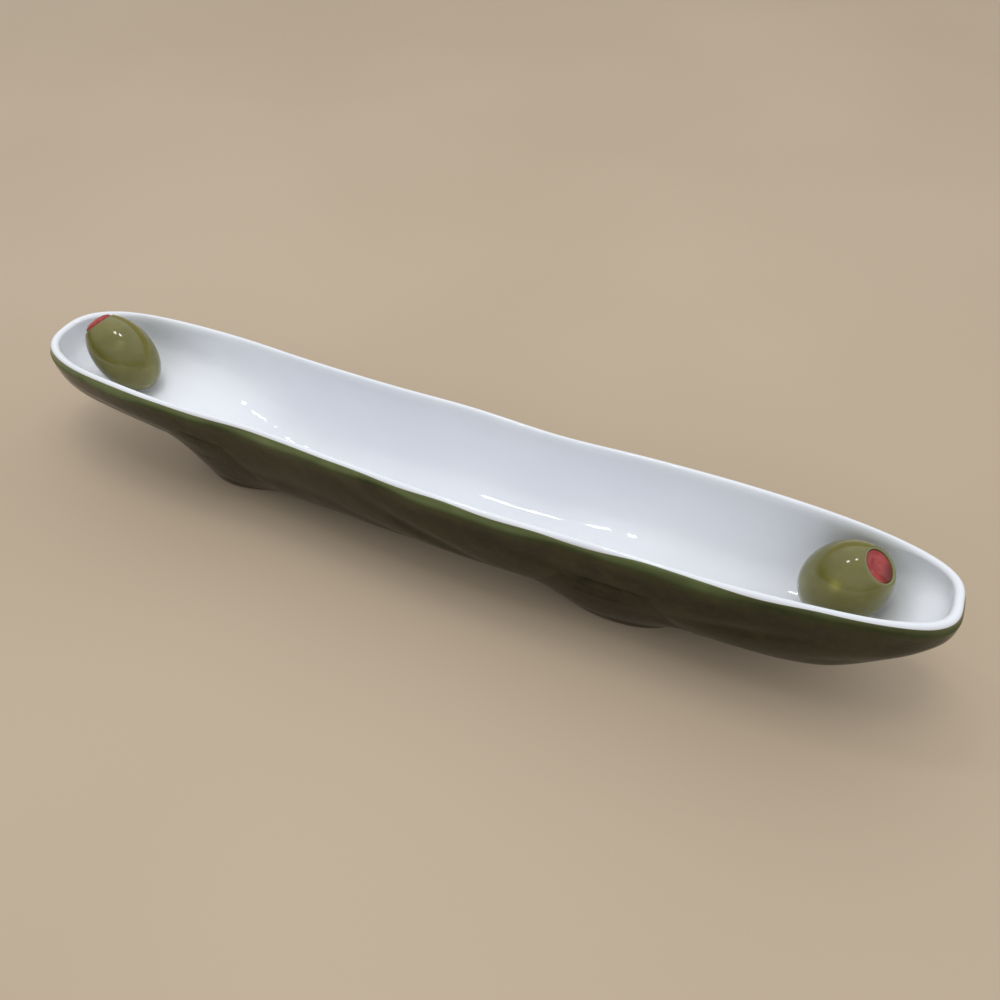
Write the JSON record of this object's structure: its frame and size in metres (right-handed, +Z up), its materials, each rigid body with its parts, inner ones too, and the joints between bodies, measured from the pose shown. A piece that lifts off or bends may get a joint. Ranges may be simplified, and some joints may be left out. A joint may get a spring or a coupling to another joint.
{
  "type": "olive dish",
  "caption": "Long, slim hand-formed ceramic boat dish on clay feet, white inside and olive green outside, with a moulded stuffed olive fixed to the floor at each end",
  "frame": {"origin": "On the table plane, under the middle of the dish's outline; the dish stands on the plane Z = 0", "axes": "+X runs along the dish towards its deeper end, +Z is up, and +Y completes the right-handed frame across the dish"},
  "size_m": [0.394, 0.0564, 0.066],
  "materials": {
    "clay_body": "matte bisque",
    "green_glaze": "gloss",
    "white_glaze": "gloss",
    "olive_glaze": "gloss",
    "red_glaze": "gloss"
  },
  "bodies": {
    "root": {"body_shell": "clay_body", "green_coat": "green_glaze", "white_lining": "white_glaze", "foot_left": "green_glaze", "foot_right": "green_glaze", "slip_bed_left": "white_glaze", "slip_bed_right": "white_glaze", "olive_left": "olive_glaze", "olive_right": "olive_glaze", "pimiento_left": "red_glaze", "pimiento_right": "red_glaze"}
  },
  "joints": []
}
